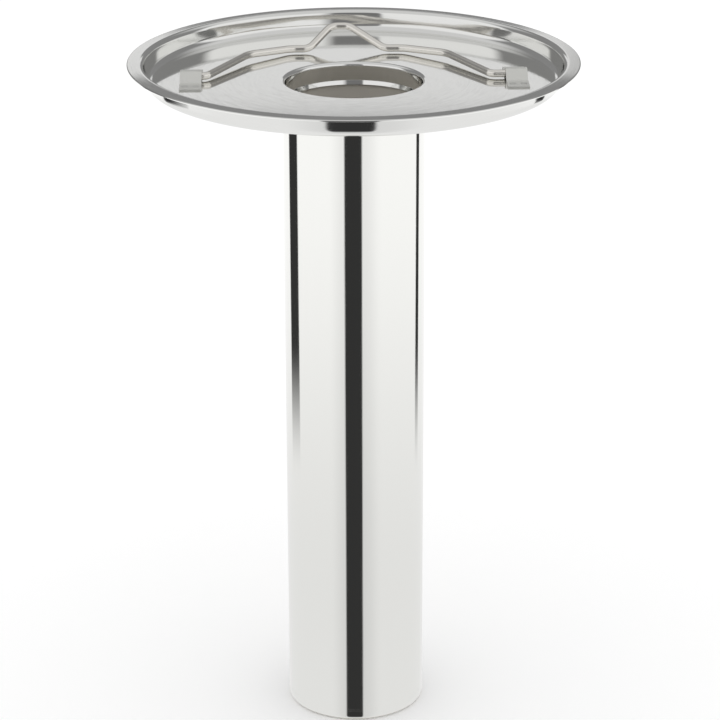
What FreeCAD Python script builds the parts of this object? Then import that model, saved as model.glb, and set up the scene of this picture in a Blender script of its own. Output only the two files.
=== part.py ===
import FreeCAD, Part

import math
import os
import re

import Sketcher
from FreeCAD import Placement, Rotation, Vector

# A drop-in lid for a drinks container. A polished pan hangs in the container's mouth by its flat rim.
# A long closed tube for ice is fixed under the pan's central neck, and a wire bail that folds flat
# on the pan's floor lifts the whole thing out. Millimetres; +Z up; the origin is the middle of the
# tube's closed end, on the ground; the bail's hinge runs along X and the bail folds towards +Y.

NODES = []
SAME = 1e-4

# ---- driving sizes -----------------------------------------------------------------------------

doc = FreeCAD.newDocument("ice_tube_lid")
sizes = doc.addObject("Spreadsheet::Sheet", "sizes")

DRIVING_SIZES = (
    ("overall_height", 374, "ground to the top of the rim"),
    ("rim_radius", 120, "outer edge of the rim"),
    ("pan_sheet", 0.9, "sheet thickness of the pan"),
    ("recess_depth", 11.3, "top of the rim down to the pan's floor"),
    ("wall_top_radius", 111.4, "inside of the pan's wall where it meets the rim plane"),
    ("wall_foot_radius", 109.6, "inside of the pan's wall where it meets the floor"),
    ("rim_bend", 2.6, "rounding from the rim down into the recess, outside of the bend"),
    ("foot_bend", 4.2, "rounding from the wall to the floor, inside of the bend"),
    ("lip_bend", 2.0, "rounding from the floor down into the neck, outside of the bend"),
    ("rim_edge_round", 0.6, "polished-off outer edge of the rim"),
    ("neck_drop", 12.4, "pan's floor down to the end of the neck"),
    ("swage_height", 2.6, "tapered end of the neck"),
    ("swage_inset", 0.7, "how far that end draws in"),
    ("tube_diameter", 76.2, "outside of the tube"),
    ("tube_wall", 0.8, "wall of the tube and of its end cap"),
    ("neck_fit", 0.1, "radial gap between the neck and the tube around it"),
    ("neck_weld_leg", 1.8, "weld between the tube's top edge and the pan's underside"),
    ("seam_angle", 1.8, "degrees of the tube's wall filled by its long seam weld"),
    ("cap_height", 6, "pressed cap that closes the tube"),
    ("cap_edge_round", 2.8, "rounding of the cap's outer edge"),
    ("cap_weld_height", 1.0, "ground-flush weld between the cap and the tube"),
    ("wire_diameter", 4, "bail wire"),
    ("wire_floor_gap", 0.6, "under the wire at its hinge line and cross bar"),
    ("wire_strap_gap", 0.1, "over the wire inside its straps"),
    ("wire_end_inset", 2.8, "wire's end, in from the outer edge of its strap, with the bail centred"),
    ("bail_slide", 2.5, "how far the loose bail has slid in its straps towards -X"),
    ("knee_reach", 75.4, "hinge line: centre to the bail's knee, along X"),
    ("shoulder_reach", 54.2, "centre to the bail's shoulder, along X"),
    ("shoulder_run", 40, "hinge line to the shoulder"),
    ("shoulder_lift", 1.3, "how far the shoulder is bowed up off the floor"),
    ("cross_reach", 31, "centre to the end of the cross bar, along X"),
    ("cross_run", 57, "hinge line to the cross bar"),
    ("knee_bend", 4, "centreline radius at the knee"),
    ("shoulder_bend", 20, "centreline radius at the shoulder"),
    ("cross_bend", 12, "centreline radius at the end of the cross bar"),
    ("grip_foot_half", 20.6, "half the width of the raised grip at its foot"),
    ("grip_top_half", 5.1, "half the width of the raised grip at its top"),
    ("grip_top_shift", 3.3, "grip's top, leaning towards -X"),
    ("grip_length", 18.5, "cross bar to the grip's top, along its slope"),
    ("grip_slope", 28, "degrees the grip rises above the folded bail"),
    ("grip_foot_bend", 7, "centreline radius at the grip's foot"),
    ("grip_top_bend", 7.5, "centreline radius at the grip's top"),
    ("strap_sheet", 0.9, "sheet thickness of a hinge strap"),
    ("strap_width", 11.5, "strap, along the hinge line"),
    ("strap_reach", 80.5, "centre to the strap's inner edge, along X"),
    ("strap_half_length", 20.5, "hinge line to the end of each foot"),
    ("arch_foot_half", 7.6, "hinge line to where the arch leaves the floor"),
    ("arch_top_half", 1.6, "half the flat on the underside of the arch's top"),
    ("strap_bend", 1.2, "inside radius of the strap's folds"),
    ("nugget_diameter", 3.2, "spot weld through a strap's foot"),
    ("nugget_spacing", 5.8, "between the two spot welds of a foot, along X"),
    ("nugget_run", 14.6, "hinge line to a foot's spot welds"),
)

for row, (alias, value, meaning) in enumerate(DRIVING_SIZES, start=1):
    sizes.set(f"A{row}", alias)
    sizes.set(f"B{row}", str(value))
    sizes.setAlias(f"B{row}", alias)
    sizes.set(f"C{row}", meaning)

# Levels and radii that several pieces share, worked out once in the sheet.
DERIVED_SIZES = (
    ("floor_level", "=overall_height - recess_depth"),
    ("underside_level", "=floor_level - pan_sheet"),
    ("tube_radius", "=tube_diameter / 2"),
    ("tube_bore_radius", "=tube_radius - tube_wall"),
    ("neck_outer_radius", "=tube_bore_radius - neck_fit"),
    ("neck_bore_radius", "=neck_outer_radius - pan_sheet"),
    ("neck_end_level", "=floor_level - neck_drop"),
    ("tube_top_level", "=underside_level - neck_weld_leg"),
    ("tube_foot_level", "=cap_height + cap_weld_height"),
    ("wall_lean", "=(wall_top_radius - wall_foot_radius) / recess_depth"),
    ("wall_run", "=pan_sheet * sqrt(1 + wall_lean * wall_lean)"),
    ("swage_run", "=swage_inset / swage_height"),
    ("hinge_level", "=floor_level + wire_floor_gap + wire_diameter / 2"),
    ("arch_rise", "=wire_floor_gap + wire_diameter + wire_strap_gap"),
    ("arch_lean", "=atan2(arch_rise; arch_foot_half - arch_top_half)"),
    ("arch_offset", "=strap_sheet * tan(arch_lean / 2)"),
    ("strap_middle", "=strap_reach + strap_width / 2"),
    ("wire_end_reach", "=strap_reach + strap_width - wire_end_inset"),
)

for row, (alias, formula) in enumerate(DERIVED_SIZES, start=len(DRIVING_SIZES) + 2):
    sizes.set(f"A{row}", alias)
    sizes.set(f"B{row}", formula)
    sizes.setAlias(f"B{row}", alias)

doc.recompute()


ALIAS = re.compile(r"\b(" + "|".join(entry[0] for entry in DRIVING_SIZES + DERIVED_SIZES) + r")\b")


def bound(text):
    """The same expression with each of the sheet's names written as sizes.NAME."""
    return ALIAS.sub(r"sizes.\1", text)


def size(text):
    """The present value of an expression of the sheet's names."""
    return float(sizes.evalExpression(text))


# ---- helpers -----------------------------------------------------------------------------------

def new_body(label):
    """One solid piece, built from sketches and features."""
    body = doc.addObject("PartDesign::Body", label)
    body.Label = label
    NODES.append(body)
    return body


def new_sketch(body, plane_role, name):
    """A sketch on one of the body's own origin planes."""
    sketch = body.newObject("Sketcher::SketchObject", name)
    plane = next(item for item in body.Origin.OriginFeatures if item.Role == plane_role)
    sketch.AttachmentSupport = [(plane, "")]
    sketch.MapMode = "FlatFace"
    return sketch


def hold(sketch, kind, element, point, text):
    """Hold one point of a sketch from its origin, at the distance that an expression gives."""
    value = size(text)
    if value < 0:
        ends = (element, point, -1, 1)
        text = f"-({text})"
    else:
        ends = (-1, 1, element, point)
    index = sketch.addConstraint(Sketcher.Constraint(kind, *ends, abs(value)))
    sketch.setExpression(f"Constraints[{index}]", bound(text))


def draw_outline(sketch, corners):
    """A closed outline of straight sides. Each corner is a pair of expressions, across and up."""
    points = [Vector(size(across), size(up), 0) for across, up in corners]
    count = len(points)
    for index in range(count):
        sketch.addGeometry(Part.LineSegment(points[index], points[(index + 1) % count]), False)
    for index in range(count):
        sketch.addConstraint(Sketcher.Constraint("Coincident", index, 2, (index + 1) % count, 1))
    for index, (across, up) in enumerate(corners):
        for kind, axis, text in (("DistanceX", -2, across), ("DistanceY", -1, up)):
            if text == "0":
                sketch.addConstraint(Sketcher.Constraint("PointOnObject", index, 1, axis))
            else:
                hold(sketch, kind, index, 1, text)


def draw_circle(sketch, across, up, diameter):
    """A circle whose centre and diameter are expressions."""
    middle = Vector(size(across), size(up), 0)
    index = sketch.addGeometry(Part.Circle(middle, Vector(0, 0, 1), size(diameter) / 2), False)
    hold(sketch, "DistanceX", index, 3, across)
    hold(sketch, "DistanceY", index, 3, up)
    rule = sketch.addConstraint(Sketcher.Constraint("Diameter", index, size(diameter)))
    sketch.setExpression(f"Constraints[{rule}]", bound(diameter))


def revolve(body, sketch, degrees="360", both_ways=False):
    """Turn a sketched section about the sketch's upright axis."""
    turned = body.newObject("PartDesign::Revolution", f"{body.Name}_revolution")
    turned.Profile = sketch
    turned.ReferenceAxis = (sketch, ["V_Axis"])
    turned.Midplane = both_ways
    turned.setExpression("Angle", bound(degrees))
    sketch.Visibility = False
    doc.recompute()
    return turned


def round_edges(body, base, name, radius, picked):
    """Round the edges of the feature before, that `picked` says yes to, by an expression."""
    names = [f"Edge{index}" for index, edge in enumerate(base.Shape.Edges, start=1) if picked(edge)]
    if not names:
        raise ValueError(f"{body.Label}: no edge found for {name}")
    fillet = body.newObject("PartDesign::Fillet", name)
    fillet.Base = (base, names)
    fillet.setExpression("Radius", bound(radius))
    doc.recompute()
    return fillet


def ring_at(radius, level):
    """Picks the circle about Z with this radius and level."""
    def picked(edge):
        curve = edge.Curve
        return (isinstance(curve, Part.Circle) and abs(curve.Radius - size(radius)) < SAME
                and abs(curve.Center.z - size(level)) < SAME)
    return picked


def fold_at(run, rise):
    """Picks the straight edges along X at this distance from the hinge line, both sides, and level."""
    def picked(edge):
        ends = [vertex.Point for vertex in edge.Vertexes]
        return (len(ends) == 2 and abs(ends[0].x - ends[1].x) > SAME
                and all(abs(abs(end.y) - size(run)) < SAME for end in ends)
                and all(abs(end.z - size(rise)) < SAME for end in ends))
    return picked


# ---- the pan: rim, recess and neck, spun from one sheet -----------------------------------------

pan = new_body("lid_pan")
pan_section = new_sketch(pan, "XZ_Plane", "pan_section")
swage_outer = "neck_outer_radius - swage_inset"
draw_outline(pan_section, (
    ("rim_radius", "overall_height - pan_sheet"),
    ("rim_radius", "overall_height"),
    ("wall_top_radius", "overall_height"),
    ("wall_foot_radius", "floor_level"),
    ("neck_bore_radius", "floor_level"),
    ("neck_bore_radius", "neck_end_level + swage_height"),
    ("neck_bore_radius - swage_inset", "neck_end_level"),
    (swage_outer, "neck_end_level"),
    ("neck_outer_radius", "neck_end_level + swage_height"),
    ("neck_outer_radius", "underside_level"),
    ("wall_foot_radius - wall_lean * pan_sheet + wall_run", "underside_level"),
    ("wall_top_radius - wall_lean * pan_sheet + wall_run", "overall_height - pan_sheet"),
))
pan_shape = revolve(pan, pan_section)
for name, radius, ring in (
    ("rim_bend_top", "rim_bend", ("wall_top_radius", "overall_height")),
    ("rim_bend_under", "rim_bend - pan_sheet",
     ("wall_top_radius - wall_lean * pan_sheet + wall_run", "overall_height - pan_sheet")),
    ("foot_bend_top", "foot_bend", ("wall_foot_radius", "floor_level")),
    ("foot_bend_under", "foot_bend + pan_sheet",
     ("wall_foot_radius - wall_lean * pan_sheet + wall_run", "underside_level")),
    ("lip_bend_top", "lip_bend", ("neck_bore_radius", "floor_level")),
    ("lip_bend_under", "lip_bend - pan_sheet", ("neck_outer_radius", "underside_level")),
    ("rim_edge", "rim_edge_round", ("rim_radius", "overall_height")),
):
    pan_shape = round_edges(pan, pan_shape, name, radius, ring_at(*ring))

# ---- the tube: a rolled sheet whose edges meet at the back, and the weld between them -----------

TUBE_SECTION = (
    ("tube_bore_radius", "tube_foot_level"),
    ("tube_radius", "tube_foot_level"),
    ("tube_radius", "tube_top_level"),
    ("tube_bore_radius", "tube_top_level"),
)

tube = new_body("ice_tube")
tube_section = new_sketch(tube, "YZ_Plane", "tube_section")
draw_outline(tube_section, [(f"-({across})", up) for across, up in TUBE_SECTION])
revolve(tube, tube_section, "360 - seam_angle", both_ways=True)

seam = new_body("tube_seam_weld")
seam_section = new_sketch(seam, "YZ_Plane", "seam_section")
draw_outline(seam_section, TUBE_SECTION)
revolve(seam, seam_section, "seam_angle", both_ways=True)

# ---- the tube's pressed end cap and its flush weld ----------------------------------------------

cap = new_body("tube_end_cap")
cap_section = new_sketch(cap, "XZ_Plane", "cap_section")
draw_outline(cap_section, (
    ("0", "0"),
    ("tube_radius", "0"),
    ("tube_radius", "cap_height"),
    ("tube_bore_radius", "cap_height"),
    ("tube_bore_radius", "tube_wall"),
    ("0", "tube_wall"),
))
cap_shape = revolve(cap, cap_section)
cap_shape = round_edges(cap, cap_shape, "cap_edge_outside", "cap_edge_round", ring_at("tube_radius", "0"))
round_edges(cap, cap_shape, "cap_edge_inside", "cap_edge_round - tube_wall",
            ring_at("tube_bore_radius", "tube_wall"))

cap_weld = new_body("end_cap_weld")
cap_weld_section = new_sketch(cap_weld, "XZ_Plane", "cap_weld_section")
draw_outline(cap_weld_section, (
    ("tube_bore_radius", "cap_height"),
    ("tube_radius", "cap_height"),
    ("tube_radius", "tube_foot_level"),
    ("tube_bore_radius", "tube_foot_level"),
))
revolve(cap_weld, cap_weld_section)

# ---- the weld that hangs the tube under the pan -------------------------------------------------

neck_weld = new_body("neck_weld")
neck_weld_section = new_sketch(neck_weld, "XZ_Plane", "neck_weld_section")
draw_outline(neck_weld_section, (
    ("neck_outer_radius", "tube_top_level"),
    ("tube_radius", "tube_top_level"),
    ("tube_radius + neck_weld_leg", "underside_level"),
    ("neck_bore_radius + lip_bend", "underside_level"),
    ("neck_outer_radius", "floor_level - lip_bend"),
))
revolve(neck_weld, neck_weld_section)

# ---- the hinge straps, one each side, and the spot welds that hold their feet -------------------


def make_strap(side_name, side):
    """A folded strap that arches over the wire, with two round welds through each foot."""
    label = f"hinge_strap_{side_name}"
    strap = new_body(label)
    profile = new_sketch(strap, "YZ_Plane", f"{label}_profile")
    lower = [
        ("strap_half_length", "0"),
        ("arch_foot_half", "0"),
        ("arch_top_half", "arch_rise"),
    ]
    upper = [
        ("arch_top_half + arch_offset", "arch_rise + strap_sheet"),
        ("arch_foot_half + arch_offset", "strap_sheet"),
        ("strap_half_length", "strap_sheet"),
    ]
    front = [(f"-({across})", up) for across, up in lower + upper]
    draw_outline(profile, front[:3] + lower[::-1] + upper[::-1] + front[3:])
    pad = strap.newObject("PartDesign::Pad", f"{label}_pad")
    pad.Profile = profile
    pad.Midplane = True
    pad.setExpression("Length", bound("strap_width"))
    doc.recompute()

    shape = pad
    for name, radius, fold in (
        ("foot_fold_under", "strap_bend + strap_sheet", lower[1]),
        ("foot_fold_top", "strap_bend", upper[1]),
        ("arch_fold_under", "strap_bend", lower[2]),
        ("arch_fold_top", "strap_bend + strap_sheet", upper[0]),
    ):
        shape = round_edges(strap, shape, f"{label}_{name}", radius, fold_at(*fold))

    spots = new_sketch(strap, "XY_Plane", f"{label}_spots")
    for across in ("-nugget_spacing / 2", "nugget_spacing / 2"):
        for up in ("-nugget_run", "nugget_run"):
            draw_circle(spots, across, up, "nugget_diameter")
    holes = strap.newObject("PartDesign::Pocket", f"{label}_holes")
    holes.Profile = spots
    holes.SideType = "Symmetric"
    holes.setExpression("Length", bound("4 * strap_sheet"))
    doc.recompute()

    welds = doc.addObject("Part::Compound", f"strap_welds_{side_name}")
    welds.Label = f"strap_welds_{side_name}"
    nuggets = []
    for column in (-1, 1):
        for rank in (-1, 1):
            nugget = doc.addObject("Part::Cylinder", f"nugget_{side_name}")
            nugget.setExpression("Radius", bound("nugget_diameter / 2"))
            nugget.setExpression("Height", bound("strap_sheet"))
            nugget.setExpression("Placement.Base.x", bound(f"{column} * nugget_spacing / 2"))
            nugget.setExpression("Placement.Base.y", bound(f"{rank} * nugget_run"))
            nuggets.append(nugget)
    welds.Links = nuggets
    NODES.append(welds)

    for piece in (strap, welds):
        piece.setExpression("Placement.Base.x", bound(f"{side} * strap_middle"))
        piece.setExpression("Placement.Base.z", bound("floor_level"))


make_strap("left", -1)
make_strap("right", 1)

# ---- the bail: one wire, bent in the flat and then tipped up at its grip -------------------------


def bail_corners():
    """The corners of the wire's centreline from the left end to the right, with their bend radii."""
    slope = Rotation(Vector(1, 0, 0), size("grip_slope"))
    cross_bar = Vector(0, size("cross_run"), 0)
    slide = Vector(-size("bail_slide"), 0, 0)

    def flat(reach, run, lift=0):
        return Vector(reach, run, lift)

    def on_grip(across, along):
        return cross_bar + slope.multVec(Vector(across, along, 0))

    left = [
        (flat(-size("wire_end_reach"), 0), 0),
        (flat(-size("knee_reach"), 0), size("knee_bend")),
        (flat(-size("shoulder_reach"), size("shoulder_run"), size("shoulder_lift")), size("shoulder_bend")),
        (flat(-size("cross_reach"), size("cross_run")), size("cross_bend")),
    ]
    right = [(Vector(-point.x, point.y, point.z), bend) for point, bend in reversed(left)]
    foot = size("grip_foot_half")
    top, top_shift = size("grip_top_half"), size("grip_top_shift")
    grip = [
        (on_grip(-foot, 0), size("grip_foot_bend")),
        (on_grip(-top - top_shift, size("grip_length")), size("grip_top_bend")),
        (on_grip(top - top_shift, size("grip_length")), size("grip_top_bend")),
        (on_grip(foot, 0), size("grip_foot_bend")),
    ]
    return [(point + slide, bend) for point, bend in left + grip + right]


def bent_wire(corners):
    """Straight runs joined by arcs that are tangent to both."""
    edges = []
    start = corners[0][0]
    for (before, _), (corner, bend), (after, _) in zip(corners, corners[1:], corners[2:]):
        inward = (corner - before).normalize()
        outward = (after - corner).normalize()
        turn = inward.getAngle(outward)
        setback = bend * math.tan(turn / 2)
        first, last = corner - inward * setback, corner + outward * setback
        bisector = (outward - inward).normalize()
        middle = corner + bisector * (bend / math.cos(turn / 2) - bend)
        edges.append(Part.LineSegment(start, first).toShape())
        edges.append(Part.Arc(first, middle, last).toShape())
        start = last
    edges.append(Part.LineSegment(start, corners[-1][0]).toShape())
    return Part.Wire(edges)


centreline = doc.addObject("Part::Feature", "bail_centreline")
centreline.Shape = bent_wire(bail_corners())

wire_section = doc.addObject("Part::Circle", "wire_section")
wire_section.setExpression("Radius", bound("wire_diameter / 2"))
wire_section.Placement = Placement(Vector(0, 0, 0), Rotation(Vector(0, 1, 0), 90))
wire_section.setExpression("Placement.Base.x", bound("-wire_end_reach - bail_slide"))

bail = doc.addObject("Part::Sweep", "bail_handle")
bail.Label = "bail_handle"
bail.Sections = [wire_section]
bail.Spine = (centreline, [f"Edge{index}" for index in range(1, len(centreline.Shape.Edges) + 1)])
bail.Solid = True
bail.setExpression("Placement.Base.z", bound("hinge_level"))
NODES.append(bail)

# ---- checks and files ---------------------------------------------------------------------------

doc.recompute()

for item in doc.Objects:
    if "Invalid" in item.State or "Error" in item.State:
        raise RuntimeError(f"{item.Label}: {item.State}")

wire_volume = wire_section.Shape.Length ** 2 / (4 * math.pi) * centreline.Shape.Length
if abs(bail.Shape.Volume / wire_volume - 1) > 0.01:
    raise RuntimeError("bail_handle: its volume is not its section times its length")

os.makedirs("parts", exist_ok=True)
for node in NODES:
    shape = node.Shape
    if shape.isNull() or not shape.isValid() or not shape.Solids:
        raise RuntimeError(f"{node.Label}: no valid solid")
    shape.exportStep(f"parts/{node.Label}.step")
    print(f"{node.Label}: {len(shape.Solids)} solid(s), {shape.Volume:.2f} mm3")
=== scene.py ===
import math

import bmesh
import bpy
from mathutils import Matrix, Vector


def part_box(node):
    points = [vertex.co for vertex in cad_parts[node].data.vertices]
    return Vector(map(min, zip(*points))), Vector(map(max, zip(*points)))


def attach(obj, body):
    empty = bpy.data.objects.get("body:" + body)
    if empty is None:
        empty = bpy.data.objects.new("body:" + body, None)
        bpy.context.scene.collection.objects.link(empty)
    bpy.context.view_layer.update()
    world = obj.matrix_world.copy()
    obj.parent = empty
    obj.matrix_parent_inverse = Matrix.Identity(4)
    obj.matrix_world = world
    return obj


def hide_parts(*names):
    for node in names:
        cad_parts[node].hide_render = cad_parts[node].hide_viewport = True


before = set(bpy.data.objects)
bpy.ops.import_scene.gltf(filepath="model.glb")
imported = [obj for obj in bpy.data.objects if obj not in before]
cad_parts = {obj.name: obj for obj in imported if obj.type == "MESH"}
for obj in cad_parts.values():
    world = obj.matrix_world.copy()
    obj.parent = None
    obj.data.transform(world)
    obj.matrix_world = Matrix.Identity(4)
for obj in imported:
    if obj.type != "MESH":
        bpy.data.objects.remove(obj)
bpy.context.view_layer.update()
MM = 0.001

# ---- camera ------------------------------------------------------------------------------------
# A long lens nearly square to the bail's hinge. It sees the lid from about fourteen degrees above
# and is tipped further down to take in the tube. Distances are in metres from the middle of the
# rim's top, and angles in degrees.

SENSOR_MM = 36
LENS_MM = 134.5
SIGHT_END = 20
CAMERA_BACK = 1.388
CAMERA_RISE = 0.354
CAMERA_SIDE = 0.0035
LOOK_DOWN = 20.70
ROLL = -0.147
PAN = 0.024
TURN = -1.5


def place_camera():
    """Stand the camera in front of the rim's middle, turned a little round the tube's axis."""
    camera = bpy.data.objects.new("camera", bpy.data.cameras.new("camera"))
    bpy.context.scene.collection.objects.link(camera)
    camera.data.sensor_width = SENSOR_MM
    camera.data.lens = LENS_MM
    camera.data.clip_end = SIGHT_END
    turn = Matrix.Rotation(math.radians(TURN), 4, "Z")
    rim_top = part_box("lid_pan")[1].z
    stand = Matrix.Translation((CAMERA_SIDE, -CAMERA_BACK, rim_top + CAMERA_RISE))
    pan = Matrix.Rotation(math.radians(PAN), 4, "Z")
    tip = Matrix.Rotation(math.radians(90 - LOOK_DOWN), 4, "X")
    roll = Matrix.Rotation(math.radians(ROLL), 4, "Z")
    camera.matrix_world = turn @ stand @ pan @ tip @ roll
    bpy.context.scene.camera = camera


place_camera()

# ---- the pan: rim, recess and neck -------------------------------------------------------------
# One disc of 304 stainless sheet, spun over a former: a flat rim, a tapered wall, a flat floor and
# a neck drawn down through the middle, then polished on the lathe until it mirrors.

SHEET = 0.9 * MM
RECESS_DEPTH = 11.3 * MM
WALL_TOP_IN = 8.6 * MM
WALL_FOOT_IN = 10.4 * MM
RIM_BEND = 2.6 * MM
RIM_EDGE_BEND = 0.6 * MM
RIM_UNDER_BEND = 0.15 * MM
FOOT_BEND = 4.2 * MM
LIP_BEND = 2.0 * MM
SWAGE_HEIGHT = 2.6 * MM
SWAGE_INSET = 0.7 * MM
SWAGE_BEND = 2.0 * MM
SHEARED_EDGE = 0.2 * MM
NECK_FIT = 0.1 * MM
TUBE_WALL = 0.8 * MM
RIM_FALL = 0.35 * MM
LATHE_STEPS = 360
GUARD_SHARE = 0.25
MERGE_DISTANCE = 1e-7
CREASE = math.radians(40)
MARK_DETAIL = 4
MARK_HARSHNESS = 0.6
MARK_SPREAD = (0.3, 0.7)


def arc_corner(before, corner, after, bend, steps):
    """Points of the arc that rounds one corner of an outline, with a guard point outside each end.

    The guard points keep smooth shading from creeping off the bend onto the flats beside it.
    """
    inward = (corner - before).normalized()
    outward = (after - corner).normalized()
    turn = inward.angle(outward)
    setback = bend * math.tan(turn / 2)
    first = corner - inward * setback
    last = corner + outward * setback
    side = (outward - inward).normalized()
    centre = corner + side * (bend / math.cos(turn / 2))
    points = [first - inward * min(setback, (first - before).length) * GUARD_SHARE]
    for step in range(steps + 1):
        share = step / steps
        spoke = (first - centre) * math.sin((1 - share) * turn) + (last - centre) * math.sin(share * turn)
        points.append(centre + spoke / math.sin(turn))
    points.append(last + outward * min(setback, (after - last).length) * GUARD_SHARE)
    return points


def rounded_outline(corners, steps=10):
    """A closed outline from (radius, height, bend) corners; a corner with no bend stays sharp."""
    places = [Vector((across, up)) for across, up, _ in corners]
    points = []
    for index, (_, _, bend) in enumerate(corners):
        before, corner, after = places[index - 1], places[index], places[(index + 1) % len(places)]
        points += arc_corner(before, corner, after, bend, steps) if bend else [corner]
    return points


def edge_object(name, points, closed):
    """An object of bare edges, for the node trees to work from."""
    mesh = bpy.data.meshes.new(name)
    links = [(index, index + 1) for index in range(len(points) - 1)]
    if closed:
        links.append((len(points) - 1, 0))
    mesh.from_pydata([tuple(point) for point in points], links, [])
    thing = bpy.data.objects.new(name, mesh)
    bpy.context.scene.collection.objects.link(thing)
    return thing


def node(tree, kind, links=None, **settings):
    """Add one node. `settings` set its properties; `links` fill its inputs with values or sockets."""
    made = tree.nodes.new(kind)
    for key, value in settings.items():
        setattr(made, key, value)
    for key, value in (links or {}).items():
        socket = made.inputs[key]
        if isinstance(value, bpy.types.NodeSocket):
            tree.links.new(value, socket)
        else:
            socket.default_value = value
    return made


def new_tree(name, inputs):
    """A geometry node tree with a geometry input, the named inputs, and a geometry output."""
    tree = bpy.data.node_groups.new(name, "GeometryNodeTree")
    tree.interface.new_socket("Geometry", in_out="INPUT", socket_type="NodeSocketGeometry")
    for title, kind in inputs:
        tree.interface.new_socket(title, in_out="INPUT", socket_type=f"NodeSocket{kind}")
    tree.interface.new_socket("Geometry", in_out="OUTPUT", socket_type="NodeSocketGeometry")
    return tree, tree.nodes.new("NodeGroupInput").outputs


def finish_tree(tree, geometry, material):
    """End a tree: real meshes in place of instances, with their material."""
    real = node(tree, "GeometryNodeRealizeInstances", {"Geometry": geometry})
    dressed = node(tree, "GeometryNodeSetMaterial", {"Geometry": real.outputs[0], "Material": material})
    node(tree, "NodeGroupOutput", {"Geometry": dressed.outputs[0]})


def grow(thing, tree, values):
    """Run a tree on an object with the values of its named inputs, and keep the plain mesh."""
    modifier = thing.modifiers.new(tree.name, "NODES")
    modifier.node_group = tree
    for item in tree.interface.items_tree:
        if item.in_out == "INPUT" and item.name in values:
            modifier[item.identifier] = values[item.name]
    bpy.context.view_layer.update()
    evaluated = thing.evaluated_get(bpy.context.evaluated_depsgraph_get())
    mesh = bpy.data.meshes.new_from_object(evaluated)
    thing.modifiers.remove(modifier)
    thing.data = mesh
    shell = bmesh.new()
    shell.from_mesh(mesh)
    bmesh.ops.remove_doubles(shell, verts=shell.verts, dist=MERGE_DISTANCE)
    if shell.calc_volume(signed=True) < 0:
        bmesh.ops.reverse_faces(shell, faces=shell.faces)
    shell.to_mesh(mesh)
    shell.free()
    mesh.set_sharp_from_angle(angle=CREASE)
    return thing


def lathe_tree():
    """Turns an outline, drawn as radius and height, round the Z axis."""
    inputs = (("Steps", "Int"), ("Guide radius", "Float"), ("Metal", "Material"))
    tree, given = new_tree("turned_section", inputs)
    outline = node(tree, "GeometryNodeMeshToCurve", {"Mesh": given["Geometry"]})
    circle = {"Resolution": given["Steps"], "Radius": given["Guide radius"]}
    path = node(tree, "GeometryNodeCurvePrimitiveCircle", circle)
    sweep = {"Curve": path.outputs[0], "Profile Curve": outline.outputs[0]}
    turned = node(tree, "GeometryNodeCurveToMesh", sweep)
    smooth = node(tree, "GeometryNodeSetShadeSmooth", {"Geometry": turned.outputs[0]})
    finish_tree(tree, smooth.outputs[0], given["Metal"])
    return tree


TURNED = lathe_tree()
GUIDE_RADIUS = 20 * MM


def turn_piece(name, outline, metal, steps=LATHE_STEPS):
    """A solid of revolution from an outline of (radius, height) points."""
    points = [Vector((point.x - GUIDE_RADIUS, -point.y, 0)) for point in outline]
    blank = edge_object(name, points, closed=True)
    return grow(blank, TURNED, {"Steps": steps, "Guide radius": GUIDE_RADIUS, "Metal": metal})


def linear(hex_colour):
    """An sRGB hex colour as Blender's linear colour."""
    channels = [int(hex_colour[place:place + 2], 16) / 255 for place in (1, 3, 5)]
    return [c / 12.92 if c <= 0.04045 else ((c + 0.055) / 1.055) ** 2.4 for c in channels] + [1]


def new_metal(name, hex_colour):
    """A bare metal: its material, tree, shader node and object coordinates. rub() sets its gloss."""
    material = bpy.data.materials.new(name)
    material.use_nodes = True
    tree = material.node_tree
    shader = tree.nodes["Principled BSDF"]
    shader.inputs["Base Color"].default_value = linear(hex_colour)
    shader.inputs["Metallic"].default_value = 1
    place = node(tree, "ShaderNodeTexCoord").outputs["Object"]
    return material, tree, shader, place


def polar(tree, place):
    """Radius, angle and height of a point about the Z axis."""
    parts = node(tree, "ShaderNodeSeparateXYZ", {0: place}).outputs
    flat = node(tree, "ShaderNodeCombineXYZ", {"X": parts["X"], "Y": parts["Y"]})
    radius = node(tree, "ShaderNodeVectorMath", {0: flat.outputs[0]}, operation="LENGTH").outputs["Value"]
    angle = node(tree, "ShaderNodeMath", {0: parts["Y"], 1: parts["X"]}, operation="ARCTAN2").outputs[0]
    return radius, angle, parts["Z"]


def rub(tree, shader, vector, spacing, gloss, depth, strength):
    """Polishing marks: a stretched noise that lifts the surface a hair and dulls it in lines.

    `spacing` is the distance across the marks. They are drawn coarser than real ones, so that they
    show. `gloss` is the roughness from the brightest mark to the dullest.
    """
    noise = {"Vector": vector, "Scale": 1 / spacing, "Detail": MARK_DETAIL, "Roughness": MARK_HARSHNESS}
    marks = node(tree, "ShaderNodeTexNoise", noise)
    faintest, strongest = MARK_SPREAD
    brightest, dullest = gloss
    spread = {0: marks.outputs[0], 1: faintest, 2: strongest, 3: brightest, 4: dullest}
    dull = node(tree, "ShaderNodeMapRange", spread)
    tree.links.new(dull.outputs[0], shader.inputs["Roughness"])
    relief = {"Height": marks.outputs[0], "Distance": depth, "Strength": strength}
    lift = node(tree, "ShaderNodeBump", relief)
    tree.links.new(lift.outputs[0], shader.inputs["Normal"])
    return lift


RING_LENGTH = 4 * MM


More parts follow.
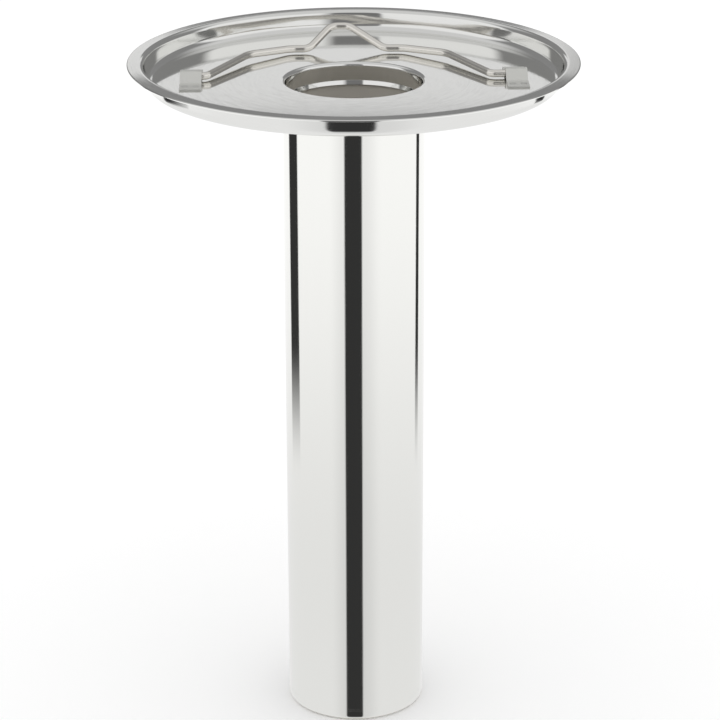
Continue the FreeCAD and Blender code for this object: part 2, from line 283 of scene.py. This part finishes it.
def spun_steel():
    """Lathe-polished 304 sheet: a mirror crossed by fine rings, each as faint as a hair."""
    material, tree, shader, place = new_metal("lathe_polished_304_sheet", "#F2F2F0")
    radius, angle, height = polar(tree, place)
    along = node(tree, "ShaderNodeMath", {0: angle, 1: RING_LENGTH}, operation="MULTIPLY").outputs[0]
    rings = node(tree, "ShaderNodeCombineXYZ", {"X": radius, "Y": height, "Z": along}).outputs[0]
    rub(tree, shader, rings, spacing=0.5 * MM, gloss=(0.03, 0.1), depth=0.004 * MM, strength=0.35)
    return material


SPUN_STEEL = spun_steel()
pan_low, pan_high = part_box("lid_pan")
tube_low, tube_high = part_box("ice_tube")
RIM_RADIUS = pan_high.x
RIM_TOP = pan_high.z
NECK_END = pan_low.z
FLOOR_TOP = RIM_TOP - RECESS_DEPTH
UNDERSIDE = FLOOR_TOP - SHEET
TUBE_RADIUS = tube_high.x
NECK_OUTER = TUBE_RADIUS - TUBE_WALL - NECK_FIT
NECK_BORE = NECK_OUTER - SHEET


def make_pan():
    """The pan's outline, from the rim's edge over the recess and the neck and back underneath.

    The rim falls a hair towards its edge, so it mirrors the room a little darker than the floor does.
    """
    top_wall = RIM_RADIUS - WALL_TOP_IN
    foot_wall = RIM_RADIUS - WALL_FOOT_IN
    lean = (top_wall - foot_wall) / RECESS_DEPTH
    skin = SHEET * math.sqrt(1 + lean * lean) - SHEET * lean
    corners = (
        (RIM_RADIUS, RIM_TOP - RIM_FALL - SHEET, RIM_UNDER_BEND),
        (RIM_RADIUS, RIM_TOP - RIM_FALL, RIM_EDGE_BEND),
        (top_wall, RIM_TOP, RIM_BEND),
        (foot_wall, FLOOR_TOP, FOOT_BEND),
        (NECK_BORE, FLOOR_TOP, LIP_BEND),
        (NECK_BORE, NECK_END + SWAGE_HEIGHT, SWAGE_BEND),
        (NECK_BORE - SWAGE_INSET, NECK_END, SHEARED_EDGE),
        (NECK_OUTER - SWAGE_INSET, NECK_END, SHEARED_EDGE),
        (NECK_OUTER, NECK_END + SWAGE_HEIGHT, SWAGE_BEND),
        (NECK_OUTER, UNDERSIDE, LIP_BEND - SHEET),
        (foot_wall + skin, UNDERSIDE, FOOT_BEND + SHEET),
        (top_wall + skin, RIM_TOP - SHEET, RIM_BEND - SHEET),
    )
    return turn_piece("spun_pan", rounded_outline(corners), SPUN_STEEL)


pan = make_pan()
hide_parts("lid_pan")
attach(pan, "lid")

# ---- the ice tube, its end cap and their welds --------------------------------------------------
# A 304 sheet rolled to a 3 in tube with one long weld at the back, closed by a pressed cap. The
# seam and the cap's weld are ground flush and all of it is polished lengthwise, so it mirrors in
# long soft streaks. A bead hangs the tube from the pan.

CAP_EDGE = 2.8 * MM
FLUSH_EDGE = 0.02 * MM
BORE_COLOUR = "#C9C5BD"
BORE_ROUGHNESS = 0.55
BORE_METAL = 0.35
TUBE_COLOUR = "#EFEFEC"
BORE_EDGE = 0.05 * MM
WAVE_LENGTH = 40 * MM
WAVE_DEPTH = 0.05 * MM
WAVE_STRENGTH = 0.5
STREAK_SQUEEZE = 0.012
SCUFF_SQUEEZE = 0.2


def tube_steel():
    """Belt-polished 304 tube: a mirror with faint lengthwise streaks and a little waviness.

    Inside, the tube keeps the dull grey skin of rolled strip. The cap's outside, under half a
    wall's height, counts as outside.
    """
    material, tree, shader, place = new_metal("belt_polished_304_tube", TUBE_COLOUR)
    streaks = node(tree, "ShaderNodeMapping", {"Vector": place, "Scale": (1, 1, STREAK_SQUEEZE)}).outputs[0]
    lift = rub(tree, shader, streaks, spacing=0.9 * MM, gloss=(0.02, 0.09), depth=0.004 * MM, strength=0.25)

    radius, _, height = polar(tree, place)
    skin = TUBE_RADIUS - TUBE_WALL / 2
    step = {0: radius, 1: skin - BORE_EDGE, 2: skin + BORE_EDGE}
    outside = node(tree, "ShaderNodeMapRange", step).outputs[0]
    base = node(tree, "ShaderNodeMath", {0: height, 1: TUBE_WALL / 2}, operation="LESS_THAN").outputs[0]
    outside = node(tree, "ShaderNodeMath", {0: outside, 1: base}, operation="MAXIMUM").outputs[0]

    polish = shader.inputs["Roughness"].links[0].from_socket
    gloss = {0: outside, 2: BORE_ROUGHNESS, 3: polish}
    dull = node(tree, "ShaderNodeMix", gloss, data_type="FLOAT").outputs[0]
    tree.links.new(dull, shader.inputs["Roughness"])
    colours = {0: outside, 6: linear(BORE_COLOUR), 7: linear(TUBE_COLOUR)}
    tone = node(tree, "ShaderNodeMix", colours, data_type="RGBA").outputs[2]
    tree.links.new(tone, shader.inputs["Base Color"])
    bareness = {0: outside, 2: BORE_METAL, 3: 1.0}
    scatter = node(tree, "ShaderNodeMix", bareness, data_type="FLOAT").outputs[0]
    tree.links.new(scatter, shader.inputs["Metallic"])

    waves = node(tree, "ShaderNodeTexNoise", {"Vector": place, "Scale": 1 / WAVE_LENGTH, "Detail": 1})
    relief = {"Height": waves.outputs[0], "Distance": WAVE_DEPTH, "Strength": WAVE_STRENGTH}
    sway = node(tree, "ShaderNodeBump", relief)
    tree.links.new(sway.outputs[0], lift.inputs["Normal"])
    return material


def ground_weld():
    """Weld metal ground flush and buffed: a shade darker and duller than the sheet beside it."""
    material, tree, shader, place = new_metal("ground_and_buffed_weld", "#D8D8D2")
    scuffs = node(tree, "ShaderNodeMapping", {"Vector": place, "Scale": (1, 1, SCUFF_SQUEEZE)}).outputs[0]
    rub(tree, shader, scuffs, spacing=0.8 * MM, gloss=(0.1, 0.28), depth=0.01 * MM, strength=0.4)
    return material


TUBE_STEEL = tube_steel()
WELD_METAL = ground_weld()


def wall_outline(low, high):
    """The section of the tube's wall between two levels, its four corners just broken."""
    corners = ((TUBE_RADIUS, low), (TUBE_RADIUS, high), (BORE, high), (BORE, low))
    return rounded_outline([(*corner, FLUSH_EDGE) for corner in corners], steps=3)


def ring_piece(name, outline, metal, node_name):
    """A turned piece that stands for one CAD node on the lid."""
    piece = turn_piece(name, outline, metal)
    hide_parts(node_name)
    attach(piece, "lid")
    return piece


cap_low, cap_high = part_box("tube_end_cap")
weld_low, weld_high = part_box("end_cap_weld")
BORE = TUBE_RADIUS - TUBE_WALL

tube_outline = wall_outline(tube_low.z, tube_high.z)
tube_wall = ring_piece("tube_wall", tube_outline, TUBE_STEEL, "ice_tube")

cap_outline = rounded_outline((
    (0, cap_low.z, 0),
    (TUBE_RADIUS, cap_low.z, CAP_EDGE),
    (TUBE_RADIUS, cap_high.z, FLUSH_EDGE),
    (BORE, cap_high.z, FLUSH_EDGE),
    (BORE, cap_low.z + TUBE_WALL, CAP_EDGE - TUBE_WALL),
    (0, cap_low.z + TUBE_WALL, 0),
))
end_cap = ring_piece("pressed_end_cap", cap_outline, TUBE_STEEL, "tube_end_cap")

# Ground flush and polished with the tube, this weld shows the tube's own finish.
weld_outline = wall_outline(weld_low.z, weld_high.z)
cap_weld = ring_piece("cap_weld_ring", weld_outline, TUBE_STEEL, "end_cap_weld")

# The weld that hangs the tube: it fills the notch between the tube's top edge and the neck, and its
# face swells a little between its two toes.
NECK_WELD_LEG = 1.8 * MM
SWELL_OUT = 0.45 * NECK_WELD_LEG
SWELL_DOWN = 0.6 * NECK_WELD_LEG
SWELL_BEND = 0.8 * MM
TOE_BEND = 0.1 * MM
bead_outline = rounded_outline((
    (NECK_OUTER, tube_high.z, 0),
    (TUBE_RADIUS, tube_high.z, TOE_BEND),
    (TUBE_RADIUS + SWELL_OUT, UNDERSIDE - SWELL_DOWN, SWELL_BEND),
    (TUBE_RADIUS + NECK_WELD_LEG, UNDERSIDE, TOE_BEND),
    (NECK_BORE + LIP_BEND, UNDERSIDE, 0),
    (NECK_OUTER, FLOOR_TOP - LIP_BEND, 0),
), steps=5)
neck_bead = ring_piece("neck_weld_bead", bead_outline, WELD_METAL, "neck_weld")

# The long seam is left as its CAD strip of wall, in the ground weld's finish.
seam_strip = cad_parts["tube_seam_weld"]
for slot in seam_strip.material_slots:
    slot.material = WELD_METAL

# ---- the hinge straps and their spot welds ------------------------------------------------------
# Two short strips of 304 sheet, each folded in a hump over the wire's end and resistance-welded to
# the pan's floor by four spots. They are cut from satin sheet and left unpolished, so they read grey.

STRAP_SHEET = 0.9 * MM
STRAP_BEND = 1.2 * MM
ARCH_FOOT = 7.6 * MM
ARCH_TOP = 1.6 * MM
ARCH_RISE = 4.7 * MM
SPOT_DIAMETER = 3.2 * MM
SPOT_SPACING = 5.8 * MM
SPOT_RUN = 14.6 * MM
SPOT_SIDES = 32
SPOT_FOOT_BEND = 0.05 * MM
SPOT_RIM_BEND = 0.1 * MM
DIMPLE_RIM = 0.72
DIMPLE_RIM_BEND = 0.2 * MM
DIMPLE_FLOOR = 0.5
DIMPLE_FLOOR_BEND = 0.3 * MM
DIMPLE_EDGE_DEPTH = 0.12 * MM
DIMPLE_DEPTH = 0.16 * MM
STRIP_EDGE = 0.1 * MM
EDGE_BREAK = 0.12 * MM
FOLD_CREASE = math.radians(35)
STRIP_METAL = 0.7
SCRATCH_SQUEEZE = 0.06


def satin_strip():
    """Satin 304 strip: short fine scratches along it that scatter the light into an even grey."""
    material, tree, shader, place = new_metal("satin_304_strip", "#D6D6D2")
    shader.inputs["Metallic"].default_value = STRIP_METAL
    squeeze = (1, SCRATCH_SQUEEZE, 1)
    scratches = node(tree, "ShaderNodeMapping", {"Vector": place, "Scale": squeeze}).outputs[0]
    rub(tree, shader, scratches, spacing=0.25 * MM, gloss=(0.42, 0.58), depth=0.01 * MM, strength=0.5)
    return material


SATIN_STRIP = satin_strip()


def make_strap(name, node_name):
    """The folded strip: its side outline, run across the strap's width, with the cut edges broken."""
    low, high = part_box(node_name)
    floor = low.z
    lean = math.atan2(ARCH_RISE, ARCH_FOOT - ARCH_TOP)
    spread = STRAP_SHEET * math.tan(lean / 2)
    top = floor + ARCH_RISE
    under = [
        (high.y, floor, STRIP_EDGE),
        (ARCH_FOOT, floor, STRAP_BEND + STRAP_SHEET),
        (ARCH_TOP, top, STRAP_BEND),
    ]
    over = [
        (ARCH_TOP + spread, top + STRAP_SHEET, STRAP_BEND + STRAP_SHEET),
        (ARCH_FOOT + spread, floor + STRAP_SHEET, STRAP_BEND),
        (high.y, floor + STRAP_SHEET, STRIP_EDGE),
    ]
    mirrored = [(-across, up, bend) for across, up, bend in under + over]
    outline = rounded_outline(mirrored[:3] + under[::-1] + over[::-1] + mirrored[3:], steps=6)

    strip = bmesh.new()
    near = [strip.verts.new((low.x, point.x, point.y)) for point in outline]
    far = [strip.verts.new((high.x, point.x, point.y)) for point in outline]
    count = len(outline)
    for index in range(count):
        follow = (index + 1) % count
        strip.faces.new((near[index], near[follow], far[follow], far[index]))
    ends = [strip.faces.new(near), strip.faces.new(far[::-1])]
    cut_edges = [edge for face in ends for edge in face.edges]
    bmesh.ops.bevel(strip, geom=cut_edges, offset=EDGE_BREAK, segments=2, profile=0.5, affect="EDGES")
    bmesh.ops.triangulate(strip, faces=[face for face in strip.faces if len(face.verts) > 4])
    bmesh.ops.recalc_face_normals(strip, faces=strip.faces)
    mesh = bpy.data.meshes.new(name)
    strip.to_mesh(mesh)
    strip.free()
    mesh.shade_smooth()
    mesh.set_sharp_from_angle(angle=FOLD_CREASE)
    mesh.materials.append(SATIN_STRIP)
    strap = bpy.data.objects.new(name, mesh)
    bpy.context.scene.collection.objects.link(strap)
    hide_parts(node_name)
    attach(strap, "lid")


def spot_tree():
    """Stands one turned spot at each point of the grid it is given."""
    tree, given = new_tree("spot_welds", (("Spot", "Object"), ("Metal", "Material")))
    spot = node(tree, "GeometryNodeObjectInfo", {"Object": given["Spot"]}).outputs["Geometry"]
    spots = node(tree, "GeometryNodeInstanceOnPoints", {"Points": given["Geometry"], "Instance": spot})
    finish_tree(tree, spots.outputs[0], given["Metal"])
    return tree


SPOT_TREE = spot_tree()


def make_spots(name, node_name):
    """Four round spots, each with the shallow dimple that the electrode leaves."""
    low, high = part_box(node_name)
    depth = high.z - low.z
    radius = SPOT_DIAMETER / 2
    spot_outline = rounded_outline((
        (0, 0, 0),
        (radius, 0, SPOT_FOOT_BEND),
        (radius, depth, SPOT_RIM_BEND),
        (DIMPLE_RIM * radius, depth, DIMPLE_RIM_BEND),
        (DIMPLE_FLOOR * radius, depth - DIMPLE_EDGE_DEPTH, DIMPLE_FLOOR_BEND),
        (0, depth - DIMPLE_DEPTH, 0),
    ), steps=3)
    one_spot = turn_piece(name + "_one", spot_outline, SATIN_STRIP, steps=SPOT_SIDES)
    middle = (low.x + high.x) / 2
    places = [Vector((middle + across * SPOT_SPACING / 2, along * SPOT_RUN, low.z))
              for across in (-1, 1) for along in (-1, 1)]
    grid = edge_object(name, places, closed=False)
    grow(grid, SPOT_TREE, {"Spot": one_spot, "Metal": SATIN_STRIP})
    bpy.data.objects.remove(one_spot)
    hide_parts(node_name)
    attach(grid, "lid")


for side in ("left", "right"):
    make_strap(f"wire_strap_{side}", f"hinge_strap_{side}")
    make_spots(f"spot_welds_{side}", f"strap_welds_{side}")

# ---- the bail: one bent wire --------------------------------------------------------------------
# A single 4 mm 304 wire, bent by hand on pins. Its two ends turn in the straps, its cross bar lies
# just off the floor behind the neck, and its middle is tipped up into a grip for two fingers.

WIRE_RADIUS = 2 * MM
WIRE_SIDES = 40
FLOOR_GAP = 0.6 * MM
# Each bend of one half: its reach from the middle, its run back, its lift, and its bend radius.
KNEE = (75.4 * MM, 0, 0, 4 * MM)
SHOULDER = (54.2 * MM, 40 * MM, 1.3 * MM, 20 * MM)
CROSS = (31 * MM, 57 * MM, 0, 12 * MM)
GRIP_FOOT = 20.6 * MM
GRIP_TOP = 5.1 * MM
GRIP_LEAN = 3.3 * MM
GRIP_LENGTH = 18.5 * MM
GRIP_SLOPE = math.radians(28)
GRIP_BENDS = (7 * MM, 7.5 * MM)
SLIDE = 2.5 * MM
DRAW_SQUEEZE = 0.15


def drawn_wire():
    """Drawn and tumbled 304 wire: fine draw lines along it, softly polished, a little warm."""
    material, tree, shader, place = new_metal("tumbled_304_wire", "#EFECE6")
    squeeze = (DRAW_SQUEEZE, DRAW_SQUEEZE, 1)
    lines = node(tree, "ShaderNodeMapping", {"Vector": place, "Scale": squeeze}).outputs[0]
    rub(tree, shader, lines, spacing=0.3 * MM, gloss=(0.12, 0.24), depth=0.006 * MM, strength=0.5)
    return material


def bent_path(corners, steps=14):
    """The wire's middle line: straight runs between arcs, from (place, bend) corners."""
    path = [corners[0][0]]
    for (before, _), (corner, bend), (after, _) in zip(corners, corners[1:], corners[2:]):
        path += arc_corner(before, corner, after, bend, steps)
    return path + [corners[-1][0]]


def wire_tree():
    """Runs a round section along the wire's middle line and closes both ends."""
    inputs = (("Radius", "Float"), ("Sides", "Int"), ("Metal", "Material"))
    tree, given = new_tree("bent_wire", inputs)
    line = node(tree, "GeometryNodeMeshToCurve", {"Mesh": given["Geometry"]})
    circle = {"Resolution": given["Sides"], "Radius": given["Radius"]}
    ring = node(tree, "GeometryNodeCurvePrimitiveCircle", circle)
    sweep = {"Curve": line.outputs[0], "Profile Curve": ring.outputs[0], "Fill Caps": True}
    wire = node(tree, "GeometryNodeCurveToMesh", sweep)
    smooth = node(tree, "GeometryNodeSetShadeSmooth", {"Geometry": wire.outputs[0]})
    finish_tree(tree, smooth.outputs[0], given["Metal"])
    return tree


def make_bail():
    """The wire from its left end to its right, with the grip tipped up in the middle."""
    bail_low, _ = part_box("bail_handle")
    level = FLOOR_TOP + FLOOR_GAP + WIRE_RADIUS
    slope = Matrix.Rotation(GRIP_SLOPE, 3, "X")
    bar = Vector((0, CROSS[1], level))
    left = [(Vector((bail_low.x + SLIDE, 0, level)), 0)]
    for across, along, lift, bend in (KNEE, SHOULDER, CROSS):
        left.append((Vector((-across, along, level + lift)), bend))
    right = [(Vector((-place.x, place.y, place.z)), bend) for place, bend in reversed(left)]
    foot_bend, top_bend = GRIP_BENDS
    grip = [
        (bar + Vector((-GRIP_FOOT, 0, 0)), foot_bend),
        (bar + slope @ Vector((-GRIP_TOP - GRIP_LEAN, GRIP_LENGTH, 0)), top_bend),
        (bar + slope @ Vector((GRIP_TOP - GRIP_LEAN, GRIP_LENGTH, 0)), top_bend),
        (bar + Vector((GRIP_FOOT, 0, 0)), foot_bend),
    ]
    corners = [(place - Vector((SLIDE, 0, 0)), bend) for place, bend in left + grip + right]
    wire = edge_object("bail_wire", bent_path(corners), closed=False)
    grow(wire, wire_tree(), {"Radius": WIRE_RADIUS, "Sides": WIRE_SIDES, "Metal": drawn_wire()})
    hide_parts("bail_handle")
    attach(wire, "bail")


make_bail()

# ---- floor, light tent and light ----------------------------------------------------------------
# A white table, and round it a tent that only the metal sees: bright cloth below the rim's level and
# at both sides, greyer overhead and behind, and dark where it parts for the lens and the stands.

TENT_RADIUS = 3.0
TENT_HEIGHT = 7.0
EYE_LEVEL = 0.3
TENT_SIDES = 96

# Glows, and where each begins and ends. Bearings are from the lens and rises from the rim's level,
# in degrees; a pair is the start and the end of a soft step.
LOW_CLOTH = 1.08
LOW_RISE = (-29, -15)
NEAR_CLOTH = 0.86
FRONT_SHADE = 0.86
FRONT_BEARING = (14, 45)
SIDE_CLOTH = 0.85
SIDE_MIDDLES = (-56, 56)
SIDE_HALF = 42
SIDE_SOFT = 12
BACK_CLOTH = 0.24
BACK_PANEL = 0.74
PANEL_RISE = (14.5, 2.6, 1.0)
PANEL_BEARING = (168, 172)
ROOF_CLOTH = 0.64
ROOF_RISE = (32, 50)
LEVEL_RISE = (-1, 1.5)

# The gaps: the middle bearing, half width and soft edge of each, then the rises that it spans.
STAND_GAPS = ((-118.5, 12.5, 2.5), (124.0, 5.0, 1.5))
STAND_RISE = (-25.5, -21.5, -1, 2)
LENS_GAP = (-3.0, 14.0, 3.0)
LENS_RISE = (-66, -42, 30, 40)
LENS_LOW = 0.035
LENS_HIGH = 0.17
LENS_LEVEL = (-1, 3)


def window(tree, value, middle, half, soft):
    """1 within half of the middle, in degrees, falling to 0 across the soft edge."""
    off = node(tree, "ShaderNodeMath", {0: value, 1: middle}, operation="SUBTRACT").outputs[0]
    off = node(tree, "ShaderNodeMath", {0: off}, operation="ABSOLUTE").outputs[0]
    edge = {0: off, 1: half - soft / 2, 2: half + soft / 2, 3: 1, 4: 0}
    return node(tree, "ShaderNodeMapRange", edge, interpolation_type="SMOOTHSTEP").outputs[0]


def bearing_and_rise(tree):
    """Bearing, with 0 at the lens, and elevation from the rim's level, both in degrees."""
    place = node(tree, "ShaderNodeTexCoord").outputs["Object"]
    radius, _, height = polar(tree, place)
    parts = node(tree, "ShaderNodeSeparateXYZ", {0: place}).outputs
    ahead = node(tree, "ShaderNodeMath", {0: parts["Y"], 1: -1}, operation="MULTIPLY").outputs[0]
    bearing = node(tree, "ShaderNodeMath", {0: parts["X"], 1: ahead}, operation="ARCTAN2").outputs[0]
    above = node(tree, "ShaderNodeMath", {0: height, 1: EYE_LEVEL}, operation="SUBTRACT").outputs[0]
    rise = node(tree, "ShaderNodeMath", {0: above, 1: radius}, operation="ARCTAN2").outputs[0]
    return [node(tree, "ShaderNodeMath", {0: turn}, operation="DEGREES").outputs[0]
            for turn in (bearing, rise)]


def hung_cloth(tree, bearing, rise):
    """The glow of the whole cloth: low part, sides, back, roof, and the bright panel at the back."""
    smooth = {"interpolation_type": "SMOOTHSTEP"}
    mixed = {"data_type": "FLOAT"}
    turned = node(tree, "ShaderNodeMath", {0: bearing}, operation="ABSOLUTE").outputs[0]
    fall = {0: rise, 1: LOW_RISE[0], 2: LOW_RISE[1], 3: NEAR_CLOTH, 4: LOW_CLOTH}
    low = node(tree, "ShaderNodeMapRange", fall, **smooth).outputs[0]
    front = {0: turned, 1: FRONT_BEARING[0], 2: FRONT_BEARING[1], 3: FRONT_SHADE, 4: 1}
    shade = node(tree, "ShaderNodeMapRange", front, **smooth).outputs[0]
    low = node(tree, "ShaderNodeMath", {0: low, 1: shade}, operation="MULTIPLY").outputs[0]

    left, right = [window(tree, bearing, middle, SIDE_HALF, SIDE_SOFT) for middle in SIDE_MIDDLES]
    sides = node(tree, "ShaderNodeMath", {0: left, 1: right}, operation="MAXIMUM").outputs[0]
    walls = node(tree, "ShaderNodeMix", {0: sides, 2: BACK_CLOTH, 3: SIDE_CLOTH}, **mixed).outputs[0]
    climb = {0: rise, 1: ROOF_RISE[0], 2: ROOF_RISE[1]}
    eaves = node(tree, "ShaderNodeMapRange", climb, **smooth).outputs[0]
    high = node(tree, "ShaderNodeMix", {0: eaves, 2: walls, 3: ROOF_CLOTH}, **mixed).outputs[0]
    swing = {0: turned, 1: PANEL_BEARING[0], 2: PANEL_BEARING[1]}
    behind = node(tree, "ShaderNodeMapRange", swing, **smooth).outputs[0]
    strip = window(tree, rise, *PANEL_RISE)
    panel = node(tree, "ShaderNodeMath", {0: strip, 1: behind}, operation="MULTIPLY").outputs[0]
    high = node(tree, "ShaderNodeMix", {0: panel, 2: high, 3: BACK_PANEL}, **mixed).outputs[0]

    lift = {0: rise, 1: LEVEL_RISE[0], 2: LEVEL_RISE[1]}
    level = node(tree, "ShaderNodeMapRange", lift, **smooth).outputs[0]
    return node(tree, "ShaderNodeMix", {0: level, 2: low, 3: high}, **mixed).outputs[0]


def band(tree, rise, low_start, low_end, high_start, high_end):
    """1 between two elevations, with a soft step up at the low end and down at the high end."""
    foot = {0: rise, 1: low_start, 2: low_end, 3: 0, 4: 1}
    head = {0: rise, 1: high_start, 2: high_end, 3: 1, 4: 0}
    up, down = [node(tree, "ShaderNodeMapRange", step, interpolation_type="SMOOTHSTEP").outputs[0]
                for step in (foot, head)]
    return node(tree, "ShaderNodeMath", {0: up, 1: down}, operation="MULTIPLY").outputs[0]


def tent_cloth():
    """The tent's glow, with its dark gaps: one each side for the stands, and one for the lens."""
    material = bpy.data.materials.new("tent_cloth")
    material.use_nodes = True
    tree = material.node_tree
    tree.nodes.clear()
    mixed = {"data_type": "FLOAT"}
    bearing, rise = bearing_and_rise(tree)
    cloth = hung_cloth(tree, bearing, rise)

    left, right = [window(tree, bearing, *gap) for gap in STAND_GAPS]
    stand = node(tree, "ShaderNodeMath", {0: left, 1: right}, operation="MAXIMUM").outputs[0]
    tall = band(tree, rise, *STAND_RISE)
    stand = node(tree, "ShaderNodeMath", {0: stand, 1: tall}, operation="MULTIPLY").outputs[0]
    cloth = node(tree, "ShaderNodeMix", {0: stand, 2: cloth, 3: LENS_LOW}, **mixed).outputs[0]

    level = {0: rise, 1: LENS_LEVEL[0], 2: LENS_LEVEL[1], 3: LENS_LOW, 4: LENS_HIGH}
    dark = node(tree, "ShaderNodeMapRange", level, interpolation_type="SMOOTHSTEP").outputs[0]
    lens = window(tree, bearing, *LENS_GAP)
    tall = band(tree, rise, *LENS_RISE)
    lens = node(tree, "ShaderNodeMath", {0: lens, 1: tall}, operation="MULTIPLY").outputs[0]
    glow = node(tree, "ShaderNodeMix", {0: lens, 2: cloth, 3: dark}, **mixed).outputs[0]
    lamp = node(tree, "ShaderNodeEmission", {"Strength": glow})
    node(tree, "ShaderNodeOutputMaterial", {"Surface": lamp.outputs[0]})
    return material


def only_reflected(thing):
    """Show a stage piece in reflections and nowhere else."""
    thing.visible_camera = False
    thing.visible_diffuse = False
    thing.visible_transmission = False
    thing.visible_shadow = False
    thing.visible_volume_scatter = False


def make_tent():
    """The tent: one closed drum, seen from inside."""
    drum = bmesh.new()
    bmesh.ops.create_cone(drum, cap_ends=True, segments=TENT_SIDES, radius1=TENT_RADIUS,
                          radius2=TENT_RADIUS, depth=TENT_HEIGHT,
                          matrix=Matrix.Translation((0, 0, EYE_LEVEL)))
    mesh = bpy.data.meshes.new("light_tent")
    drum.to_mesh(mesh)
    drum.free()
    mesh.materials.append(tent_cloth())
    tent = bpy.data.objects.new("light_tent", mesh)
    bpy.context.scene.collection.objects.link(tent)
    only_reflected(tent)


TABLE_RADIUS = 8
TABLE_COLOUR = "#FCFCFC"
ROOM_LIGHT = 1.08


def make_table():
    """The table that the tube's end stands on: matte laminate, an even white with no shine."""
    top = bmesh.new()
    bmesh.ops.create_circle(top, cap_ends=True, segments=TENT_SIDES, radius=TABLE_RADIUS)
    mesh = bpy.data.meshes.new("table")
    top.to_mesh(mesh)
    top.free()
    material = bpy.data.materials.new("matte_white_laminate")
    material.use_nodes = True
    shader = material.node_tree.nodes["Principled BSDF"]
    shader.inputs["Base Color"].default_value = linear(TABLE_COLOUR)
    shader.inputs["Roughness"].default_value = 0.9
    shader.inputs["Specular IOR Level"].default_value = 0.0
    mesh.materials.append(material)
    table = bpy.data.objects.new("table", mesh)
    bpy.context.scene.collection.objects.link(table)
    table.visible_glossy = False


def make_light():
    """Even white light from all round."""
    world = bpy.data.worlds.new("white_room")
    bpy.context.scene.world = world
    world.use_nodes = True
    sky = world.node_tree.nodes["Background"]
    sky.inputs["Color"].default_value = (1, 1, 1, 1)
    sky.inputs["Strength"].default_value = ROOM_LIGHT


make_tent()
make_table()
make_light()
bpy.context.scene.view_settings.view_transform = "Standard"
